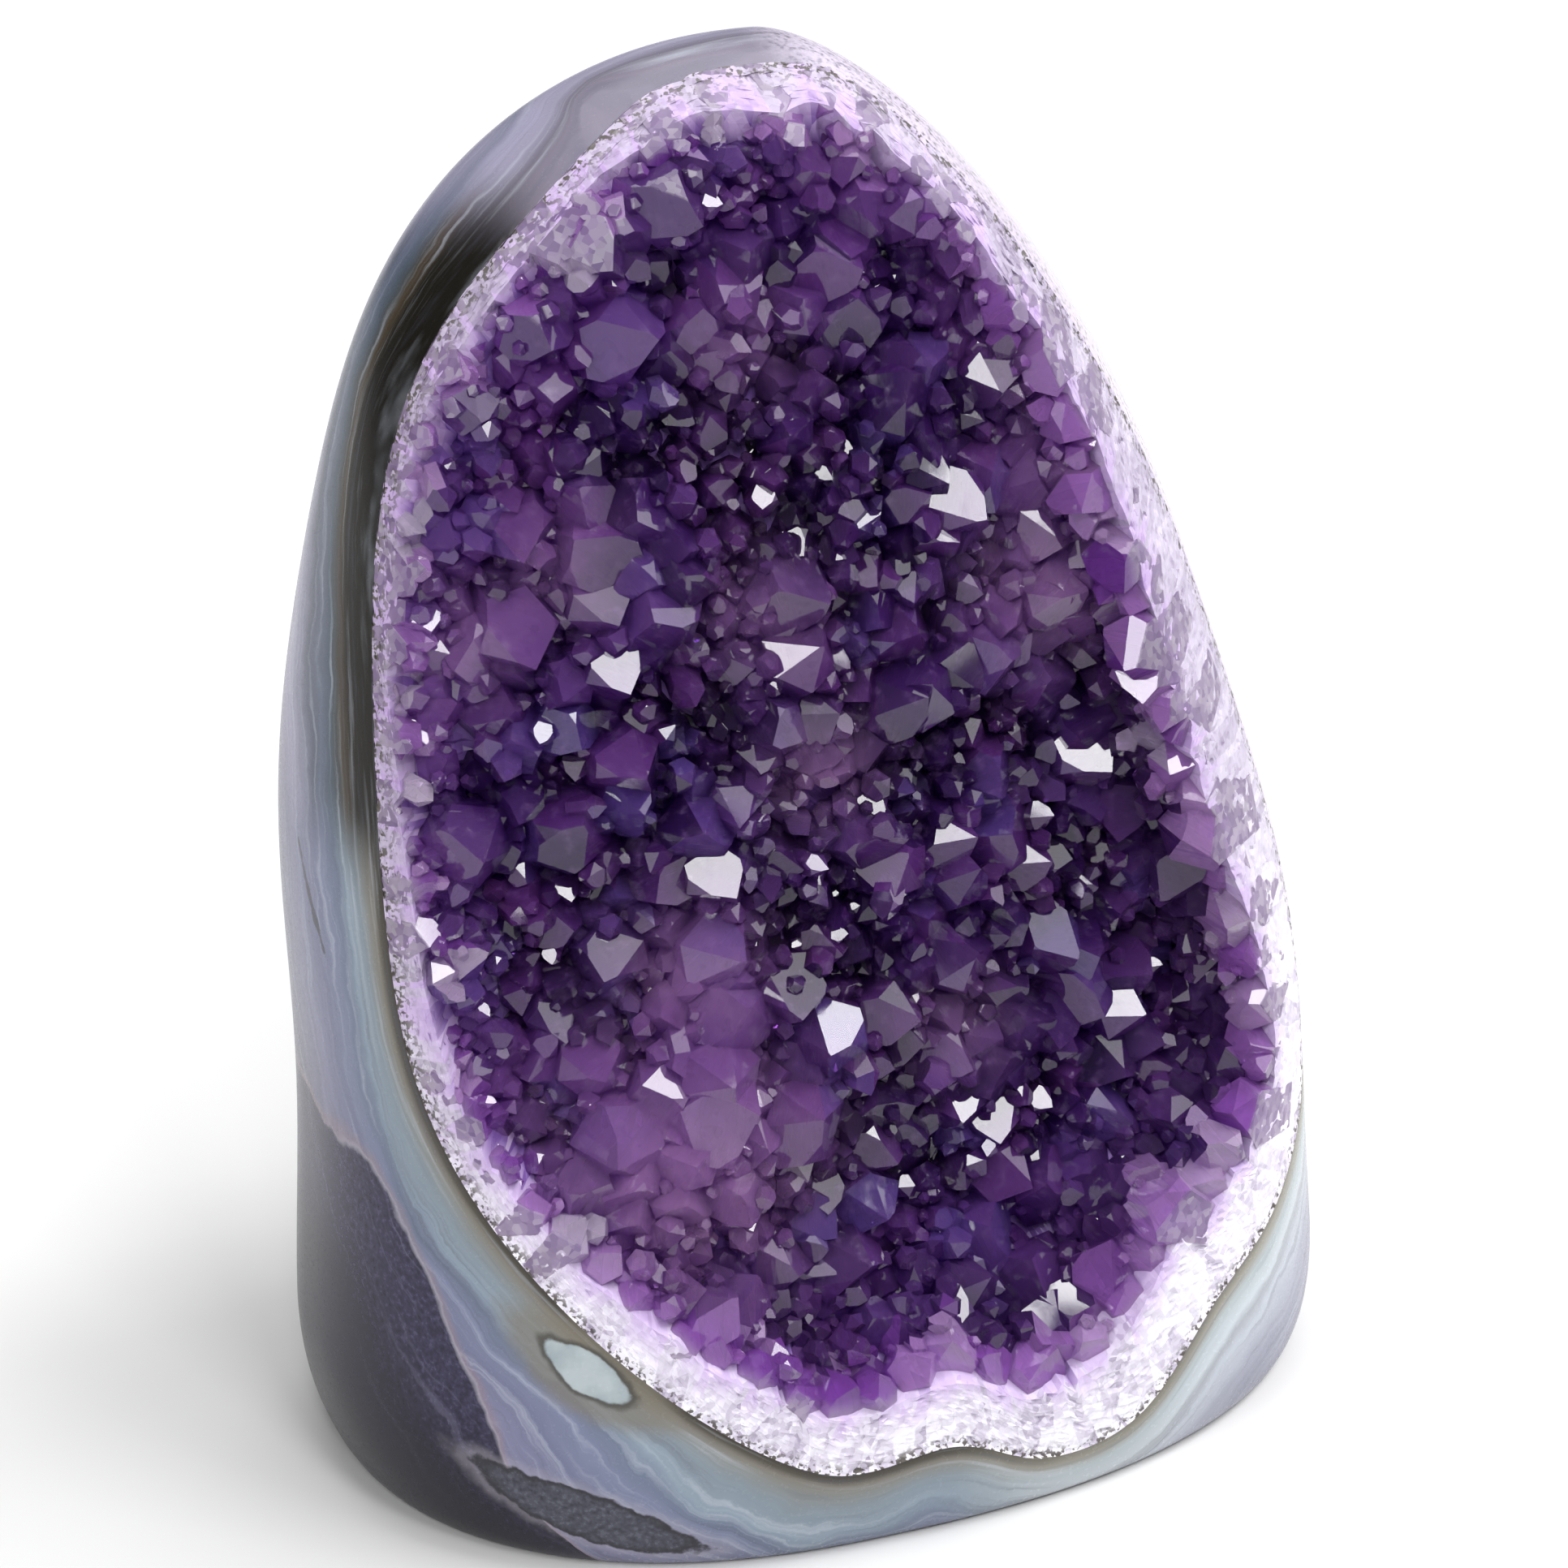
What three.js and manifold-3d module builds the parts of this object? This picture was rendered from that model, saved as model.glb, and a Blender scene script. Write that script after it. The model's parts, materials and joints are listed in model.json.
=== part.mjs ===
// An amethyst geode that stands on a sawn foot. Its sides are polished smooth, and its front is open: an
// agate rind holds one crust of quartz, which is white where it roots on the rind and violet at its points.
// Millimetres, +Z up. The hollow faces -Y, and the origin is the middle of the foot.
import * as THREE from "three";
import { LoftGeometry } from "three/addons/geometries/LoftGeometry.js";
import { mergeVertices } from "three/addons/utils/BufferGeometryUtils.js";
import Module from "manifold-3d";

const wasm = await Module();
wasm.setup();

// The stone: how far each side reaches from its upright axis, and how that side rounds over to the top.
// A side is reach * (1 - (z / HEIGHT) ^ rise) ^ (1 / round), with a slow swell along its height.
const HEIGHT = 110;
const SIDES = {
  left: { reach: 37, rise: 4.8, round: 2.15, swell: 0.012, swellStart: 0.8 },
  right: { reach: 46.5, rise: 1.8, round: 1.65, swell: 0.01, swellStart: 2.4 },
  front: { reach: 31, rise: 2.2, round: 2, swell: 0.015, swellStart: 4.0 },
  back: { reach: 24, rise: 2.5, round: 2, swell: 0.03, swellStart: 5.2 },
};
const SWELL_LENGTH = 48;
const SECTION_POWER = 2.3; // a level section is a superellipse, 2 would be an ellipse
const FOOT_ROUND = 11; // height of the rounding above the sawn foot
const FOOT_INSET = 3; // how far the foot draws in
const STONE_ROWS = 20;
const STONE_COLUMNS = 40;

// The hollow: its edge from the front, as x, z from the axis and the foot, where the quartz meets the agate
const RIM = [
  [-6, 8.5], [-22, 18], [-30.5, 34], [-33.3, 52], [-31.5, 78], [-25.5, 94], [-12, 105.6], [-2, 107.8],
  [6.3, 105.6], [18, 93.5], [28.2, 75], [35.8, 55], [40.6, 37], [41, 26], [36, 18.5], [28.5, 13.5],
  [21, 6], [13, 5], [5, 8.5],
];
const CENTRE = new THREE.Vector2(2, 54);
const WALL_POWER = 5; // a larger power gives a flatter floor and a steeper wall
const BED_POWER = 7;
const CRUST_THICK = 5; // quartz between the agate and the bed that the points stand on
const BED_DEPTH = 11.5; // below the polished front, at the middle
const BED_SLOPE_X = 0.06; // the hollow is deeper on the right and towards the foot
const BED_SLOPE_Z = -0.04;
const MOUND = { x: -12, z: 33, radius: 9, height: 4 }; // a knot of larger points low on the left
const CRUST_GAP = 0.3; // between crust and rind
const RIM_COLUMNS = 40;
const BOWL_RINGS = [1, 0.92, 0.8, 0.5, 0];
const CUTTER_FLARE = 1.03; // the cutter leaves the stone just past the rim
const CUTTER_PROUD = 1.5;
const CUTTER_FRONT = -70;

// The band of white quartz, polished flush with the rind: thin on the upper left, thick on the lower right
const BAND_THIN = 2.2;
const BAND_THICK = 8;
const BAND_THICK_ANGLE = -0.9; // radians up from +X

// The points: six-sided crystals on the bed, standing out from it
const POINT_COUNT = 142;
const POINT_RADIUS = [3.3, 4.8];
const POINT_TILT = 0.42; // radians
const POINT_JITTER = 0.45; // of the spacing between points
const POINT_ROOT = 2.5; // buried length
const POINT_SHOULDER = [0, 0.6]; // prism below the tip, in radii
const POINT_TIP = 1.15; // tip height, in radii
const POINT_SKEW = 0.4; // how far the tip stands off the axis, in radii
const MOUND_GROWTH = 0.35; // how much larger points on the mound are
const POINT_INNERMOST = 0.02; // share of the bed that the first point keeps from the centre
const GOLDEN_ANGLE = Math.PI * (3 - Math.sqrt(5));
const SEED = 20;
const WELD = 1e-4; // corners closer than this are one corner

// A repeatable random number from 0 to 1
function seededRandom(seed) {
  let state = seed;
  return () => {
    state = (state + 0x6d2b79f5) | 0;
    let mixed = Math.imul(state ^ (state >>> 15), 1 | state);
    mixed = (mixed + Math.imul(mixed ^ (mixed >>> 7), 61 | mixed)) ^ mixed;
    return ((mixed ^ (mixed >>> 14)) >>> 0) / 4294967296;
  };
}

// A closed geometry as a solid that can be joined and cut
function solidOf(geometry) {
  const bare = new THREE.BufferGeometry();
  bare.setAttribute("position", geometry.attributes.position);
  bare.setIndex(geometry.index);
  const merged = mergeVertices(bare, WELD);
  const corners = merged.index.array;
  const triVerts = [];
  for (let i = 0; i < corners.length; i += 3) {
    const [a, b, c] = corners.slice(i, i + 3);
    if (a !== b && b !== c && c !== a) triVerts.push(a, b, c);
  }
  return new wasm.Manifold(
    new wasm.Mesh({
      numProp: 3,
      vertProperties: merged.attributes.position.array,
      triVerts: new Uint32Array(triVerts),
    }),
  );
}

// The largest body of a solid, without loose chips or the pockets that are closed in between crystals
function mainBody(solid) {
  const bodies = solid.decompose();
  return bodies.reduce((best, body) => (body.volume() > best.volume() ? body : best));
}

// A solid as a named mesh with flat faces
function meshOf(solid, name, material) {
  const { vertProperties, triVerts } = solid.getMesh();
  const geometry = new THREE.BufferGeometry();
  geometry.setAttribute("position", new THREE.BufferAttribute(vertProperties, 3));
  geometry.setIndex(new THREE.BufferAttribute(triVerts, 1));
  const flat = geometry.toNonIndexed();
  flat.computeVertexNormals();
  const mesh = new THREE.Mesh(flat, material);
  mesh.name = name;
  return mesh;
}

// How far a side of the stone reaches from the axis at a height
function reachAt(side, z) {
  const share = Math.min(z / HEIGHT, 1);
  const outline = side.reach * (1 - share ** side.rise) ** (1 / side.round);
  const swell = 1 + side.swell * Math.sin((2 * Math.PI * z) / SWELL_LENGTH + side.swellStart);
  const low = Math.max(0, 1 - z / FOOT_ROUND);
  return outline * swell - FOOT_INSET * (1 - Math.sqrt(1 - low ** 2));
}

// The polished front of the stone above a point of the x, z plane
function frontAt(x, z) {
  const side = x > 0 ? SIDES.right : SIDES.left;
  const across = Math.min(Math.abs(x) / reachAt(side, z), 1);
  return -reachAt(SIDES.front, z) * (1 - across ** SECTION_POWER) ** (1 / SECTION_POWER);
}

// One level section of the stone, counterclockwise from above
function levelSection(z) {
  return Array.from({ length: STONE_COLUMNS }, (_, i) => {
    const turn = (2 * Math.PI * i) / STONE_COLUMNS;
    const along = Math.sign(Math.cos(turn)) * Math.abs(Math.cos(turn)) ** (2 / SECTION_POWER);
    const deep = Math.sign(Math.sin(turn)) * Math.abs(Math.sin(turn)) ** (2 / SECTION_POWER);
    const x = along * reachAt(along > 0 ? SIDES.right : SIDES.left, z);
    const y = deep * reachAt(deep > 0 ? SIDES.back : SIDES.front, z);
    return new THREE.Vector3(x, y, z);
  });
}

// The whole stone before it was opened, with rows closer together near the foot and the top
function stoneSolid() {
  const sections = Array.from({ length: STONE_ROWS }, (_, i) =>
    levelSection((HEIGHT * (1 - Math.cos((Math.PI * i) / (STONE_ROWS - 1)))) / 2),
  );
  return solidOf(new LoftGeometry(sections, { capStart: true }));
}

const rimCurve = new THREE.CatmullRomCurve3(
  RIM.map(([x, z]) => new THREE.Vector3(x, 0, z)),
  true,
  "catmullrom",
  0.5,
);

// A place in the hollow: turn 0 to 1 round the rim, and share 0 at the centre to 1 at the rim
function placeAt(turn, share) {
  const rim = rimCurve.getPointAt(turn % 1);
  const across = new THREE.Vector2(rim.x, rim.z).sub(CENTRE);
  const size = across.length();
  const facing = Math.cos(across.angle() - BAND_THICK_ANGLE);
  const band = BAND_THIN + ((BAND_THICK - BAND_THIN) * (1 + facing)) / 2;
  const at = across.multiplyScalar(share).add(CENTRE);
  return { x: at.x, z: at.y, share, gapEdge: 1 - CRUST_GAP / size, bedEdge: 1 - band / size };
}

// The share of the mound's height at a place
function moundAt({ x, z }) {
  return Math.exp(-((x - MOUND.x) ** 2 + (z - MOUND.z) ** 2) / MOUND.radius ** 2);
}

// Depth of the bed's floor below the polished front
function floorDepth(place) {
  const slope = BED_SLOPE_X * (place.x - CENTRE.x) + BED_SLOPE_Z * (place.z - CENTRE.y);
  return BED_DEPTH + slope - MOUND.height * moundAt(place);
}

// Depths below the polished front of the bed, of the agate wall, and of the crust's back on that wall
const bedDepth = (place) => floorDepth(place) * (1 - Math.min(place.share / place.bedEdge, 1) ** BED_POWER);
const wallDepth = (place) => (floorDepth(place) + CRUST_THICK) * (1 - place.share ** WALL_POWER);
const gapDepth = (place) => wallDepth(place) - CRUST_GAP;

// A solid that takes out the hollow down to a depth, from a rim that lies at edge(place) of the hollow's own
function hollowCutter(depth, edge) {
  const turns = Array.from({ length: RIM_COLUMNS }, (_, i) => i / RIM_COLUMNS);
  const ring = (share, yOf) =>
    turns.map((turn) => {
      const place = placeAt(turn, share * edge(placeAt(turn, 1)));
      return new THREE.Vector3(place.x, yOf(place), place.z);
    });
  const floor = BOWL_RINGS.map((share) => ring(share, (place) => frontAt(place.x, place.z) + depth(place)));
  const lip = ring(CUTTER_FLARE, (place) => frontAt(place.x, place.z) - CUTTER_PROUD);
  const mouth = ring(CUTTER_FLARE, () => CUTTER_FRONT);
  return solidOf(new LoftGeometry([mouth, lip, ...floor], { capStart: true }));
}

// The way that the bed faces at a place, from the bed a small step away on each side
function bedNormal(turn, share) {
  const step = 0.01;
  const onBed = (t, s) => {
    const place = placeAt(t + 1, s);
    return new THREE.Vector3(place.x, frontAt(place.x, place.z) + bedDepth(place), place.z);
  };
  const round = onBed(turn + step, share).sub(onBed(turn - step, share));
  const out = onBed(turn, share + step).sub(onBed(turn, share - step));
  const normal = out.cross(round).normalize();
  return normal.y < 0 ? normal : normal.negate();
}

// One crystal: a six-sided prism with a leaning six-sided tip, root down
function pointGeometry(radius, random) {
  const shoulder = radius * THREE.MathUtils.lerp(...POINT_SHOULDER, random());
  const tip = shoulder + radius * POINT_TIP;
  const profile = [[0, -POINT_ROOT], [radius, -POINT_ROOT], [radius, shoulder], [0, tip]];
  const geometry = new THREE.LatheGeometry(profile.map(([r, h]) => new THREE.Vector2(r, h)), 6);
  const skewX = radius * POINT_SKEW * (2 * random() - 1);
  const skewZ = radius * POINT_SKEW * (2 * random() - 1);
  const corners = geometry.attributes.position;
  for (let i = 0; i < corners.count; i++) {
    if (corners.getY(i) > tip - WELD) corners.setXYZ(i, skewX, tip, skewZ);
  }
  return geometry;
}

// The crystals of the druse, spread evenly over the bed in a jittered sunflower pattern
function pointSolids() {
  const random = seededRandom(SEED);
  const up = new THREE.Vector3(0, 1, 0);
  return Array.from({ length: POINT_COUNT }, (_, i) => {
    const spread = Math.sqrt((i + 0.5) / POINT_COUNT);
    const spacing = 1 / Math.sqrt(POINT_COUNT);
    const jitter = () => POINT_JITTER * spacing * (random() - 0.5);
    const turn = ((i * GOLDEN_ANGLE) / (2 * Math.PI) + jitter() / spread) % 1;
    const outward = THREE.MathUtils.clamp(spread + jitter(), POINT_INNERMOST, 1);
    const share = outward * placeAt(turn + 1, 1).bedEdge;
    const place = placeAt(turn + 1, share);
    const lean = new THREE.Vector3(random() - 0.5, random() - 0.5, random() - 0.5);
    const axis = bedNormal(turn, share).addScaledVector(lean, 2 * POINT_TILT).normalize();
    const radius = THREE.MathUtils.lerp(...POINT_RADIUS, random() ** 2) * (1 + MOUND_GROWTH * moundAt(place));
    const geometry = pointGeometry(radius, random);
    geometry.rotateY(random() * Math.PI);
    geometry.applyQuaternion(new THREE.Quaternion().setFromUnitVectors(up, axis));
    geometry.translate(place.x, frontAt(place.x, place.z) + bedDepth(place), place.z);
    return solidOf(geometry);
  });
}

const agate = new THREE.MeshStandardMaterial({ color: 0x8a919c, roughness: 0.25, metalness: 0 });
const amethyst = new THREE.MeshStandardMaterial({ color: 0x5b2e83, roughness: 0.12, metalness: 0 });

const stone = stoneSolid();
const rind = stone.subtract(hollowCutter(wallDepth, () => 1));
const lining = stone.intersect(hollowCutter(gapDepth, (place) => place.gapEdge));
const bed = lining.subtract(hollowCutter(bedDepth, (place) => place.bedEdge));
const crust = mainBody(wasm.Manifold.union([bed, ...pointSolids()]).intersect(lining));

const geode = new THREE.Group();
geode.name = "amethyst_geode";
geode.add(meshOf(rind, "agate_rind", agate));
geode.add(meshOf(crust, "crystal_crust", amethyst));

// The origin goes to the middle of the foot's box
const box = new THREE.Box3().setFromObject(geode);
const middle = box.getCenter(new THREE.Vector3());
geode.children.forEach((mesh) => mesh.position.set(-middle.x, -middle.y, -box.min.z));

export default geode;
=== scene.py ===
import itertools
import json
import math

import bmesh
import bpy
import numpy as np
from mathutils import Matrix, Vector
from mathutils.bvhtree import BVHTree
from mathutils.kdtree import KDTree

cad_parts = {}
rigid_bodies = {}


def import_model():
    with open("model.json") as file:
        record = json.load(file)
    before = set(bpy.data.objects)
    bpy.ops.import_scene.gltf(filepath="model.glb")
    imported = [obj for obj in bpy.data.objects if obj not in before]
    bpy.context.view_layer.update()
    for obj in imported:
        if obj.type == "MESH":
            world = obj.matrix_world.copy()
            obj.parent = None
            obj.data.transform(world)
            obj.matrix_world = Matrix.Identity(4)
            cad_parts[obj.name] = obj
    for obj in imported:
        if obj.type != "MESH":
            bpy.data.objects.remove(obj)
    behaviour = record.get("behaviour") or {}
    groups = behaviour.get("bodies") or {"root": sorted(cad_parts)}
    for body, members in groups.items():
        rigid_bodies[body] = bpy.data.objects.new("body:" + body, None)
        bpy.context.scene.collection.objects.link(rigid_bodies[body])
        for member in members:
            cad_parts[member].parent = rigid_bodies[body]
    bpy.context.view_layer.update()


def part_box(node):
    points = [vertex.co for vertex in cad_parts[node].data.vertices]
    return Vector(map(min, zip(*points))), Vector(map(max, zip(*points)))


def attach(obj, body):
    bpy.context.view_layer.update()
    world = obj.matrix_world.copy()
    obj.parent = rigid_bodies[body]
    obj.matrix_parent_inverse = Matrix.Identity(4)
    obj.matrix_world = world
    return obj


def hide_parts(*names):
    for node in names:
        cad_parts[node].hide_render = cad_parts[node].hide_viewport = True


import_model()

# The agate rind: the outside of the stone, grey and blue-grey agate that grew in layers on dark lava rock.
# It is ground and polished all round, sawn flat below so that it stands, and open at the front.
MM = 0.001
rind_low, rind_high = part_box("agate_rind")
HEIGHT = rind_high.z
SIDES = {  # reach from the upright axis, how it rises and rounds over, and its slow swell
    "left": (37 * MM, 4.8, 2.15, 0.012, 0.8),
    "right": (46.5 * MM, 1.8, 1.65, 0.010, 2.4),
    "front": (31 * MM, 2.2, 2.0, 0.015, 4.0),
    "back": (24 * MM, 2.5, 2.0, 0.030, 5.2),
}
SWELL_LENGTH = 48 * MM
SECTION_POWER = 2.3
FOOT_ROUND = 11 * MM
FOOT_INSET = 3 * MM
STONE_COLUMNS = 220
STONE_ROWS = 140
INSIDE = 0.998  # the smooth stone keeps just inside the box of the faceted one


def reach(side, z):
    """How far a side of the stone stands from the axis at a height."""
    size, rise, rounding, swell, start = SIDES[side]
    outline = size * (1 - np.clip(z / HEIGHT, 0, 1) ** rise) ** (1 / rounding)
    waves = 1 + swell * np.sin(2 * np.pi * z / SWELL_LENGTH + start)
    low = np.clip(1 - z / FOOT_ROUND, 0, 1)
    return outline * waves - FOOT_INSET * (1 - np.sqrt(1 - low**2))


def front(x, z):
    """The polished front of the stone, as y, above a point of the x, z plane."""
    across = np.abs(x) / np.maximum(np.where(x > 0, reach("right", z), reach("left", z)), 0.01 * MM)
    return -reach("front", z) * (1 - np.clip(across, 0, 1) ** SECTION_POWER) ** (1 / SECTION_POWER)


heights = np.linspace(0, HEIGHT, 2000)
AXIS = np.array([
    rind_low.x + reach("left", heights).max(),
    rind_high.y - reach("back", heights).max(),
    0.0,
])


def grid_faces(rows, columns, closed_ends):
    """Quads of a grid that goes round in its columns, and a fan at each end that closes in one vertex."""
    first = 1 if closed_ends[0] else 0
    faces = []
    for row in range(rows - 1):
        for column in range(columns):
            a = first + row * columns + column
            b = first + row * columns + (column + 1) % columns
            faces.append((a, b, b + columns, a + columns))
    last = first + (rows - 1) * columns
    for column in range(columns):
        after = (column + 1) % columns
        if closed_ends[0]:
            faces.append((0, first + after, first + column))
        if closed_ends[1]:
            faces.append((last + column, last + after, last + columns))
    return faces


def new_object(name, vertices, faces):
    """A mesh object at the origin, with its faces turned outwards."""
    mesh = bpy.data.meshes.new(name)
    mesh.from_pydata([tuple(v) for v in vertices], [], faces)
    shape = bmesh.new()
    shape.from_mesh(mesh)
    bmesh.ops.recalc_face_normals(shape, faces=shape.faces)
    shape.to_mesh(mesh)
    shape.free()
    made = bpy.data.objects.new(name, mesh)
    bpy.context.scene.collection.objects.link(made)
    return made


def evaluated_mesh(made):
    """The plain mesh that an object's modifiers give."""
    graph = bpy.context.evaluated_depsgraph_get()
    return bpy.data.meshes.new_from_object(made.evaluated_get(graph), depsgraph=graph)


def remove(made):
    """Takes an object that has served its turn out of the file."""
    bpy.data.objects.remove(made)


def store(mesh, name, values):
    """Writes one number, or one vector, for each vertex of a mesh."""
    values = np.asarray(values, np.float32)
    kind, slot = ("FLOAT", "value") if values.ndim == 1 else ("FLOAT_VECTOR", "vector")
    mesh.attributes.new(name, kind, "POINT").data.foreach_set(slot, values.ravel())


def vertex_places(mesh):
    """A mesh's vertices as an array of places."""
    places = np.zeros(len(mesh.vertices) * 3, np.float32)
    mesh.vertices.foreach_get("co", places)
    return places.reshape(-1, 3).astype(float)


def stone_solid():
    """The whole stone before it was opened: level rings from the foot to the top."""
    turn = np.linspace(0, 2 * np.pi, STONE_COLUMNS, endpoint=False)
    along = np.sign(np.cos(turn)) * np.abs(np.cos(turn)) ** (2 / SECTION_POWER)
    deep = np.sign(np.sin(turn)) * np.abs(np.sin(turn)) ** (2 / SECTION_POWER)
    levels = HEIGHT * (1 - np.cos(np.linspace(0, np.pi, STONE_ROWS + 1)[:-1])) / 2
    rings = []
    for z in levels:
        x = along * np.where(along > 0, reach("right", z), reach("left", z))
        y = deep * np.where(deep > 0, reach("back", z), reach("front", z))
        rings.append(np.stack([x, y, np.full_like(x, z)], 1) * [INSIDE, INSIDE, 1])
    vertices = np.concatenate(rings + [[[0, 0, HEIGHT]]]) + AXIS
    faces = grid_faces(STONE_ROWS, STONE_COLUMNS, (False, True))
    faces.append(tuple(reversed(range(STONE_COLUMNS))))
    return new_object("stone", vertices, faces)


# The hollow's edge on the polished front, from the axis and the foot, where the quartz meets the agate
RIM = [
    (-6, 8.5), (-20.5, 19.6), (-30.5, 34), (-33.3, 52), (-31.5, 78), (-25.5, 94), (-12.4, 106.2),
    (-1.6, 108.9), (6.8, 106.2), (18, 93.5), (28.2, 75), (35.8, 55), (40.6, 37), (41, 26), (36, 18.5),
    (28.5, 13.5), (21, 6), (13, 5), (5, 8.5),
]
CENTRE = np.array([2, 54]) * MM
RIM_STEPS = 24  # between two points of the rim
WALL_POWER = 5
CRUST_THICK = 5 * MM
BED_DEPTH = 11.5 * MM
BED_SLOPE_X = 0.06
BED_SLOPE_Z = -0.04
MOUND = (-12 * MM, 33 * MM, 9 * MM, 4 * MM)  # x, z, radius and height of a knot of points low on the left
HOLLOW_COLUMNS = 240
HOLLOW_ROWS = 40
LIP_SHARE = 1.03  # where the cut leaves the front, as a share of the rim
LIP_CLEAR = 1.5 * MM


def rim_curve():
    """The rim as a smooth closed curve: angles about the centre, rising, and the radius at each."""
    points = np.array(RIM) * MM
    before, after, later = np.roll(points, 1, 0), np.roll(points, -1, 0), np.roll(points, -2, 0)
    curve = []
    for t in np.linspace(0, 1, RIM_STEPS, endpoint=False):
        curve.append(0.5 * (
            2 * points + (after - before) * t
            + (2 * before - 5 * points + 4 * after - later) * t**2
            + (3 * points - before - 3 * after + later) * t**3
        ))
    spokes = np.concatenate(curve) - CENTRE
    angle = np.arctan2(spokes[:, 1], spokes[:, 0])
    order = np.argsort(angle)
    return angle[order], np.hypot(spokes[:, 0], spokes[:, 1])[order]


RIM_ANGLES, RIM_RADII = rim_curve()


def rim_radius(angle):
    """Distance from the hollow's centre to its rim."""
    return np.interp(angle, RIM_ANGLES, RIM_RADII, period=2 * np.pi)


def hollow_share(x, z):
    """Angle about the hollow's centre, and the share of the way from there to the rim."""
    angle = np.arctan2(z - CENTRE[1], x - CENTRE[0])
    return angle, np.hypot(x - CENTRE[0], z - CENTRE[1]) / rim_radius(angle)


def floor_depth(x, z):
    """Depth of the crystal bed's floor below the polished front."""
    mound_x, mound_z, radius, height = MOUND
    mound = height * np.exp(-((x - mound_x) ** 2 + (z - mound_z) ** 2) / radius**2)
    return BED_DEPTH + BED_SLOPE_X * (x - CENTRE[0]) + BED_SLOPE_Z * (z - CENTRE[1]) - mound


def wall_depth(x, z):
    """Depth of the agate wall below the polished front."""
    share = np.clip(hollow_share(x, z)[1], 0, 1)
    return (floor_depth(x, z) + CRUST_THICK) * (1 - share**WALL_POWER)


def hollow_ring(share, depth, angle):
    """One ring round the hollow at a share of its rim and a depth below the polished front."""
    radius = rim_radius(angle) * share
    x = CENTRE[0] + radius * np.cos(angle)
    z = CENTRE[1] + radius * np.sin(angle)
    y = front(x, z) + (depth(x, z) if callable(depth) else depth)
    return np.stack([x, y, z], 1) * [INSIDE, INSIDE, 1] + AXIS


def hollow_cutter():
    """What was taken out of the stone: a bowl that flares clear of the front."""
    angle = np.linspace(-np.pi, np.pi, HOLLOW_COLUMNS, endpoint=False)
    shares = np.linspace(1, 0, HOLLOW_ROWS)[:-1] ** 0.6
    bowl = [hollow_ring(share, wall_depth, angle) for share in shares]
    lip = hollow_ring(LIP_SHARE, -LIP_CLEAR, angle)
    mouth = lip * [1, 0, 1] + [0, 2 * rind_low.y, 0]
    ends = [hollow_ring(np.zeros(1), wall_depth, np.zeros(1))]
    vertices = np.concatenate([mouth, lip] + bowl + ends)
    faces = grid_faces(len(bowl) + 2, HOLLOW_COLUMNS, (False, True))
    faces.append(tuple(reversed(range(HOLLOW_COLUMNS))))
    return new_object("hollow", vertices, faces)


SHARP_EDGE = math.radians(35)

stone = stone_solid()
hollow = hollow_cutter()
cut = stone.modifiers.new("hollow", "BOOLEAN")
cut.operation = "DIFFERENCE"
cut.solver = "MANIFOLD"
cut.object = hollow
rind = bpy.data.objects.new("polished_rind", evaluated_mesh(stone))
bpy.context.scene.collection.objects.link(rind)
rind.data.shade_smooth()
rind.data.set_sharp_from_angle(angle=SHARP_EDGE)
wall = BVHTree.FromObject(hollow, bpy.context.evaluated_depsgraph_get())
store(rind.data, "layer", [wall.find_nearest(Vector(v))[3] / MM for v in vertex_places(rind.data)])
remove(stone)
remove(hollow)


def add(tree, kind, inputs=None, **settings):
    """Adds a node to a tree. An input is named by its identifier or its name, and takes a value or a link."""
    node = tree.nodes.new(kind)
    for name, value in settings.items():
        setattr(node, name, value)
    for name, value in (inputs or {}).items():
        socket = next((s for s in node.inputs if s.identifier == name), None) or node.inputs[name]
        if isinstance(value, bpy.types.NodeSocket):
            tree.links.new(value, socket)
        else:
            socket.default_value = value
    return node


def math_node(tree, operation, *values, clamp=False):
    """The result of a sum on numbers or links."""
    node = add(tree, "ShaderNodeMath", operation=operation, use_clamp=clamp)
    for socket, value in zip(node.inputs, values):
        if isinstance(value, bpy.types.NodeSocket):
            tree.links.new(value, socket)
        else:
            socket.default_value = value
    return node.outputs[0]


def step_between(tree, value, start, end):
    """0 before start, 1 past end, smooth between; start may be the larger."""
    node = add(tree, "ShaderNodeMapRange", {"Value": value, "From Min": start, "From Max": end},
               interpolation_type="SMOOTHSTEP")
    return node.outputs["Result"]


def mix_colour(tree, factor, first, second, blend="MIX"):
    """Two colours mixed by a factor."""
    node = add(tree, "ShaderNodeMix", {"Factor_Float": factor, "A_Color": first, "B_Color": second},
               data_type="RGBA", blend_type=blend)
    return next(s for s in node.outputs if s.identifier == "Result_Color")


def colour_steps(tree, value, steps, interpolation="LINEAR"):
    """A colour that changes along a value through steps of (place, colour)."""
    node = add(tree, "ShaderNodeValToRGB", {"Fac": value})
    node.color_ramp.interpolation = interpolation
    while len(node.color_ramp.elements) < len(steps):
        node.color_ramp.elements.new(1.0)
    for element, (place, colour) in zip(node.color_ramp.elements, steps):
        element.position = place
        element.color = (*colour, 1)
    return node.outputs["Color"]


def srgb(red, green, blue):
    """A colour as a screen shows it, 0 to 255, as linear light."""
    return tuple(
        c / 12.92 if c <= 0.04045 else ((c + 0.055) / 1.055) ** 2.4
        for c in (red / 255, green / 255, blue / 255)
    )


def noise_value(tree, places, scale, detail=2.0, roughness=0.5):
    """Noise from 0 to 1 at places, with a scale in waves a millimetre."""
    node = add(tree, "ShaderNodeTexNoise",
               {"Vector": places, "Scale": scale, "Detail": detail, "Roughness": roughness})
    return node.outputs["Fac"]


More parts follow.
